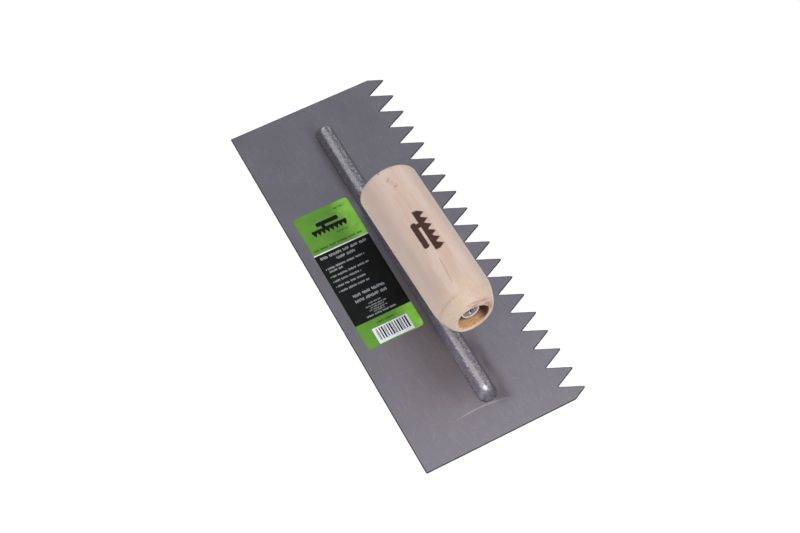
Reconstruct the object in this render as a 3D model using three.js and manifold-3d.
// Notched trowel: a stainless steel blade with V-shaped teeth along one long edge, a cast aluminium
// shank riveted to it, and a turned wooden handle drawn onto the shank's tang by one screw.
//
// Millimetres, +Z up. The origin is the middle of the blade's underside. X runs along the blade,
// with the shank's neck towards -X. The straight edge is at -Y and the toothed edge at +Y.

import * as THREE from 'three';
import { mergeVertices } from 'three/addons/utils/BufferGeometryUtils.js';
import Module from 'manifold-3d';

const wasm = await Module();
wasm.setup();

// Blade
const bladeLength = 280;
const bladeWidth = 115;
const bladeThickness = 0.8;
const bladeCornerRadius = 0.8;
const toothPitch = 15;
const notchDepth = 15;
const tipHalfWidth = 0.9;

// Foot of the shank: a long rib lying on the blade. Its flanks and ends lean in towards a narrow
// flat top with rounded shoulders.
const footCentre = new THREE.Vector2(-1.5, 1.2);
const footLength = 235.5;
const footWidth = 13;
const footHeight = 9;
const footEdgeHeight = 0.6;
const footFlankLean = 2.4;
const footEndLean = 4.6;
const footShoulderRadius = 3;

// Handle: it is turned about its own axis, which rises towards the rear
const handleLength = 112;
const handleFrontRadius = 19.8;
const handleRearRadius = 19.4;
const handleFrontRounding = 2.4;
const handleDomeLength = 18;
const handleDomePower = 1.5;
const handleRearFaceRadius = 12.4;
const handleTilt = THREE.MathUtils.degToRad(3.5);
const handleFront = new THREE.Vector3(-20.3, footCentre.y, 60.6);
const counterboreRadius = 10.15;
const counterboreDepth = 12;
const mouthRounding = 0.8;

// Tang inside the handle, and the shoulder that the handle's front face bears on
const tangFrontRadius = 6.5;
const tangRearRadius = 5.6;
const tangEndClearance = 3;
const shoulderRadius = 10;
const shoulderThickness = 3;
const shoulderFlareLength = 5;

// Neck, from the foot up to the shoulder, and the web that stiffens its base
const neckRadius = 6;
const neckFoot = new THREE.Vector3(-44, footCentre.y, 2.4);
const neckFootPull = new THREE.Vector3(7, 0, 32);
const neckShoulderPull = 5;
const neckShoulderDrop = 2;
const webThickness = 6.4;
const webSink = 0.6;
const webHeight = 24;
const webFrontReach = 15;
const webRearReach = 20;

// Handle screw (M6, pan head, cross recess) and its washer
const screwRadius = 3;
const screwLength = 32;
const screwHeadRadius = 6;
const screwHeadHeight = 4.2;
const screwHeadCrown = 1.6;
const recessWidth = 1.3;
const recessSpan = 6.4;
const recessDepth = 2.4;
const washerRadius = 9;
const washerBoreRadius = 3.3;
const washerThickness = 1.6;

// Internal rivets: countersunk in the blade's underside, upset inside the foot
const rivetCount = 8;
const rivetSpacing = 29;
const rivetRadius = 2.2;
const rivetHeadRadius = 3.4;
const rivetReach = 5.4;
const rivetClearance = 0.15;

// Adhesive label on the blade's top, beside the foot
const labelLength = 110;
const labelWidth = 40;
const labelThickness = 0.15;
const labelCornerRadius = 3;
const labelCentre = new THREE.Vector2(-6, -29.5);

// Gap that is left wherever two pieces fit on the tilted axis
const seatGap = 0.3;
const cutOverrun = 1;

const finishes = {
  steel: { color: 0x8a888d, roughness: 0.38, metalness: 0.9 },
  castAluminium: { color: 0x9b9ca0, roughness: 0.55, metalness: 0.85 },
  rivetAluminium: { color: 0xb0b1b3, roughness: 0.4, metalness: 0.9 },
  zincPlate: { color: 0xc4c6c9, roughness: 0.22, metalness: 1 },
  wood: { color: 0xd9c4b3, roughness: 0.62, metalness: 0 },
  printedFilm: { color: 0x5fae2e, roughness: 0.45, metalness: 0 },
};

function toManifold(geometry) {
  const bare = geometry.clone();
  bare.deleteAttribute('normal');
  bare.deleteAttribute('uv');
  const merged = mergeVertices(bare);
  const index = merged.index.array;
  const triangles = [];
  for (let i = 0; i < index.length; i += 3) {
    const corners = [index[i], index[i + 1], index[i + 2]];
    if (new Set(corners).size === 3) triangles.push(...corners);
  }
  return new wasm.Manifold(new wasm.Mesh({
    numProp: 3,
    vertProperties: new Float32Array(merged.attributes.position.array),
    triVerts: new Uint32Array(triangles),
  }));
}

function toGeometry(manifold) {
  const { vertProperties, triVerts } = manifold.getMesh();
  const geometry = new THREE.BufferGeometry();
  geometry.setAttribute('position', new THREE.BufferAttribute(vertProperties, 3));
  geometry.setIndex(new THREE.BufferAttribute(triVerts, 1));
  geometry.computeVertexNormals();
  return geometry;
}

// A body of revolution about +X. Each profile point is [distance along X, radius].
function turned(profile, segments) {
  const points = profile.map(([along, radius]) => new THREE.Vector2(radius, along));
  return new THREE.LatheGeometry(points, segments).rotateZ(-Math.PI / 2);
}

// A body of revolution about +Z. Each profile point is [height, radius].
function turnedUpright(profile, segments) {
  const points = profile.map(([height, radius]) => new THREE.Vector2(radius, height));
  return new THREE.LatheGeometry(points, segments).rotateX(Math.PI / 2);
}

function roundedRectangle(length, width, radius) {
  const x = length / 2;
  const y = width / 2;
  const shape = new THREE.Shape();
  shape.moveTo(-x + radius, -y);
  shape.lineTo(x - radius, -y);
  shape.absarc(x - radius, -y + radius, radius, -Math.PI / 2, 0);
  shape.lineTo(x, y - radius);
  shape.absarc(x - radius, y - radius, radius, 0, Math.PI / 2);
  shape.lineTo(-x + radius, y);
  shape.absarc(-x + radius, y - radius, radius, Math.PI / 2, Math.PI);
  shape.lineTo(-x, -y + radius);
  shape.absarc(-x + radius, -y + radius, radius, Math.PI, Math.PI * 1.5);
  return shape;
}

// The handle's own frame, with its axis along X, placed in the trowel's frame.
const handleMatrix = new THREE.Matrix4()
  .makeRotationY(-handleTilt)
  .setPosition(handleFront);
const handleAxis = new THREE.Vector3(1, 0, 0).transformDirection(handleMatrix);

const rivetPlaces = Array.from(
  { length: rivetCount },
  (_, i) => footCentre.x + (i - (rivetCount - 1) / 2) * rivetSpacing,
);

// The toothed edge is walked from +X to -X. Each tip is a short curve that runs on smoothly
// from the flanks, and the two end teeth lose their outer corner to the blade's ends.
function bladeOutline() {
  const end = bladeLength / 2;
  const straightEdge = -bladeWidth / 2;
  const toothedEdge = bladeWidth / 2;
  const flankSlope = notchDepth / ((toothPitch - tipHalfWidth) / 2);
  const tipDrop = (flankSlope * tipHalfWidth) / 2;
  const toothCount = Math.floor(bladeLength / toothPitch) + 1;
  const lastTip = ((toothCount - 1) / 2) * toothPitch;
  const endFlank = toothedEdge - tipDrop - flankSlope * (end - lastTip - tipHalfWidth);
  const shape = new THREE.Shape();
  shape.moveTo(-end + bladeCornerRadius, straightEdge);
  shape.lineTo(end - bladeCornerRadius, straightEdge);
  shape.quadraticCurveTo(end, straightEdge, end, straightEdge + bladeCornerRadius);
  shape.lineTo(end, endFlank);
  for (let i = 0; i < toothCount; i += 1) {
    const tip = lastTip - i * toothPitch;
    const tipShoulder = toothedEdge - tipDrop;
    shape.lineTo(tip + tipHalfWidth, tipShoulder);
    shape.quadraticCurveTo(tip, toothedEdge + tipDrop, tip - tipHalfWidth, tipShoulder);
    if (i < toothCount - 1) shape.lineTo(tip - toothPitch / 2, toothedEdge - notchDepth);
  }
  shape.lineTo(-end, endFlank);
  shape.lineTo(-end, straightEdge + bladeCornerRadius);
  shape.quadraticCurveTo(-end, straightEdge, -end + bladeCornerRadius, straightEdge);
  return shape;
}

function rivetGeometry() {
  const top = bladeThickness + rivetReach;
  const upset = 0.6;
  return turnedUpright([
    [0, 0],
    [0, rivetHeadRadius],
    [bladeThickness, rivetRadius],
    [top - upset, rivetRadius],
    [top, rivetRadius - upset],
    [top, 0],
  ], 24);
}

function rivetCutter(x) {
  const top = bladeThickness + rivetReach + rivetClearance;
  const cutter = turnedUpright([
    [-cutOverrun, 0],
    [-cutOverrun, rivetHeadRadius + rivetClearance],
    [0, rivetHeadRadius + rivetClearance],
    [bladeThickness, rivetRadius + rivetClearance],
    [top, rivetRadius + rivetClearance],
    [top, 0],
  ], 24);
  return toManifold(cutter.translate(x, footCentre.y, 0));
}

function bladeGeometry() {
  const sheet = new THREE.ExtrudeGeometry(bladeOutline(), {
    depth: bladeThickness,
    bevelEnabled: false,
    curveSegments: 6,
  });
  return toGeometry(rivetPlaces.reduce(
    (blade, x) => blade.subtract(rivetCutter(x)),
    toManifold(sheet),
  ));
}

// The rib is the hull of rounded outlines stacked from its base to its top.
function footSolid() {
  const shoulderSteps = 6;
  const levels = [{ height: 0, inset: 0, endInset: 0 }];
  levels.push({ height: footEdgeHeight, inset: 0, endInset: 0 });
  for (let i = 0; i <= shoulderSteps; i += 1) {
    const angle = (i / shoulderSteps) * (Math.PI / 2);
    const turn = footShoulderRadius * (1 - Math.cos(angle));
    levels.push({
      height: footHeight - footShoulderRadius * (1 - Math.sin(angle)),
      inset: footFlankLean + turn,
      endInset: footEndLean + turn,
    });
  }
  const points = levels.flatMap(({ height, inset, endInset }) => {
    const width = footWidth - 2 * inset;
    const outline = roundedRectangle(footLength - 2 * endInset, width, width / 2);
    return outline.getPoints(8).map(({ x, y }) => [x, y, height]);
  });
  return wasm.Manifold.hull(points).translate([footCentre.x, footCentre.y, bladeThickness]);
}

function neckCurve() {
  const top = handleFront.clone().addScaledVector(handleAxis, -shoulderThickness);
  top.z -= neckShoulderDrop;
  return new THREE.CubicBezierCurve3(
    neckFoot,
    neckFoot.clone().add(neckFootPull),
    top.clone().addScaledVector(handleAxis, -neckShoulderPull),
    top,
  );
}

function neckSolid() {
  const section = new THREE.Shape().absarc(0, 0, neckRadius, 0, Math.PI * 2);
  return toManifold(new THREE.ExtrudeGeometry(section, {
    steps: 20,
    curveSegments: 10,
    extrudePath: neckCurve(),
  }));
}

// A flat web in the XZ plane, whose two concave edges run from the foot into the neck.
function webSolid() {
  const x = neckFoot.x;
  const base = neckFoot.z;
  const ridge = bladeThickness + footHeight - webSink;
  const lean = neckFootPull.x / neckFootPull.z;
  const tipX = x + lean * webHeight;
  const outline = new THREE.Shape();
  outline.moveTo(x - webFrontReach, base);
  outline.lineTo(x + webRearReach, base);
  outline.lineTo(x + webRearReach, ridge);
  outline.quadraticCurveTo(tipX + neckRadius, ridge, tipX + neckRadius - 1, ridge + webHeight);
  outline.lineTo(tipX, ridge + webHeight);
  outline.quadraticCurveTo(x - neckRadius, ridge + 1, x - webFrontReach, ridge);
  const web = new THREE.ExtrudeGeometry(outline, {
    depth: webThickness,
    bevelEnabled: false,
    curveSegments: 8,
  });
  web.translate(0, 0, -webThickness / 2).rotateX(Math.PI / 2);
  return toManifold(web.translate(0, footCentre.y, 0));
}

// Shoulder and tang are turned about the handle's axis, whose zero is the handle's front face.
function tangSolid() {
  const shoulderFace = -seatGap;
  const shoulderBack = shoulderFace - shoulderThickness;
  const end = handleLength - counterboreDepth - tangEndClearance;
  const chamfer = 0.8;
  return toManifold(turned([
    [shoulderBack - shoulderFlareLength, 0],
    [shoulderBack - shoulderFlareLength, neckRadius - 0.6],
    [shoulderBack - shoulderFlareLength * 0.4, neckRadius + 1.4],
    [shoulderBack, shoulderRadius - 0.6],
    [shoulderBack + 0.6, shoulderRadius],
    [shoulderFace, shoulderRadius],
    [shoulderFace, tangFrontRadius],
    [end - chamfer, tangRearRadius],
    [end, tangRearRadius - chamfer],
    [end, 0],
  ], 40).applyMatrix4(handleMatrix));
}

// Where the screw's underhead plane lies along the handle's axis.
const underHead = handleLength - counterboreDepth + seatGap + washerThickness + seatGap;

function screwHoleCutter() {
  const start = underHead - screwLength - 2 * seatGap;
  return toManifold(turned([
    [start, 0],
    [start, screwRadius + seatGap],
    [handleLength, screwRadius + seatGap],
    [handleLength, 0],
  ], 24).applyMatrix4(handleMatrix));
}

function shankGeometry() {
  const casting = footSolid()
    .add(webSolid())
    .add(neckSolid())
    .add(tangSolid())
    .subtract(screwHoleCutter());
  return toGeometry(rivetPlaces.reduce((shank, x) => shank.subtract(rivetCutter(x)), casting));
}

// Closed profile, walked from the tang's bore at the front, over the outside, to the rear face
// and back in through the counterbore.
function handleGeometry() {
  const bore = tangFrontRadius + seatGap;
  const profile = [[0, bore]];
  const frontSteps = 4;
  for (let i = 0; i <= frontSteps; i += 1) {
    const angle = (i / frontSteps) * (Math.PI / 2);
    profile.push([
      handleFrontRounding * (1 - Math.cos(angle)),
      handleFrontRadius - handleFrontRounding * (1 - Math.sin(angle)),
    ]);
  }
  const domeSteps = 12;
  const domeRise = handleRearRadius - handleRearFaceRadius;
  for (let i = 0; i <= domeSteps; i += 1) {
    const u = Math.sin((i / domeSteps) * (Math.PI / 2));
    const drop = (1 - u ** handleDomePower) ** (1 / handleDomePower);
    profile.push([
      handleLength - handleDomeLength * (1 - u),
      handleRearFaceRadius + domeRise * drop,
    ]);
  }
  profile.push([handleLength, counterboreRadius + mouthRounding]);
  profile.push([handleLength - mouthRounding, counterboreRadius]);
  profile.push([handleLength - counterboreDepth, counterboreRadius]);
  profile.push([handleLength - counterboreDepth, bore]);
  profile.push([0, bore]);
  return turned(profile, 56);
}

function washerGeometry() {
  const back = handleLength - counterboreDepth + seatGap;
  const front = back + washerThickness;
  return turned([
    [back, washerBoreRadius],
    [back, washerRadius],
    [front, washerRadius],
    [front, washerBoreRadius],
    [back, washerBoreRadius],
  ], 40);
}

function recessCutter(top) {
  const arm = new THREE.BoxGeometry(recessDepth + cutOverrun, recessWidth, recessSpan);
  arm.translate(top - recessDepth + (recessDepth + cutOverrun) / 2, 0, 0);
  const otherArm = arm.clone().rotateX(Math.PI / 2);
  return toManifold(arm).add(toManifold(otherArm));
}

function screwGeometry() {
  const top = underHead + screwHeadHeight;
  const tip = underHead - screwLength;
  const crownSteps = 4;
  const profile = [
    [tip, 0],
    [tip, screwRadius - 1],
    [tip + 1, screwRadius],
    [underHead, screwRadius],
    [underHead, screwHeadRadius],
  ];
  for (let i = 0; i <= crownSteps; i += 1) {
    const angle = (i / crownSteps) * (Math.PI / 2);
    profile.push([
      top - screwHeadCrown * (1 - Math.sin(angle)),
      screwHeadRadius - screwHeadCrown * (1 - Math.cos(angle)),
    ]);
  }
  profile.push([top, 0]);
  return toGeometry(toManifold(turned(profile, 32)).subtract(recessCutter(top)));
}

function labelGeometry() {
  const film = new THREE.ExtrudeGeometry(
    roundedRectangle(labelLength, labelWidth, labelCornerRadius),
    { depth: labelThickness, bevelEnabled: false, curveSegments: 6 },
  );
  return film.translate(labelCentre.x, labelCentre.y, bladeThickness);
}

function piece(name, geometry, finish) {
  const mesh = new THREE.Mesh(geometry, new THREE.MeshStandardMaterial(finish));
  mesh.name = name;
  return mesh;
}

const trowel = new THREE.Group();
trowel.add(piece('blade', bladeGeometry(), finishes.steel));
trowel.add(piece('shank', shankGeometry(), finishes.castAluminium));
trowel.add(piece('label', labelGeometry(), finishes.printedFilm));

rivetPlaces.forEach((x, i) => {
  const rivet = piece(`rivet_${i + 1}`, rivetGeometry(), finishes.rivetAluminium);
  rivet.position.set(x, footCentre.y, 0);
  trowel.add(rivet);
});

const handleGroup = new THREE.Group();
handleGroup.position.copy(handleFront);
handleGroup.rotation.y = -handleTilt;
handleGroup.add(piece('handle', handleGeometry(), finishes.wood));
handleGroup.add(piece('washer', washerGeometry(), finishes.zincPlate));
handleGroup.add(piece('screw', screwGeometry(), finishes.zincPlate));
trowel.add(handleGroup);

export default trowel;
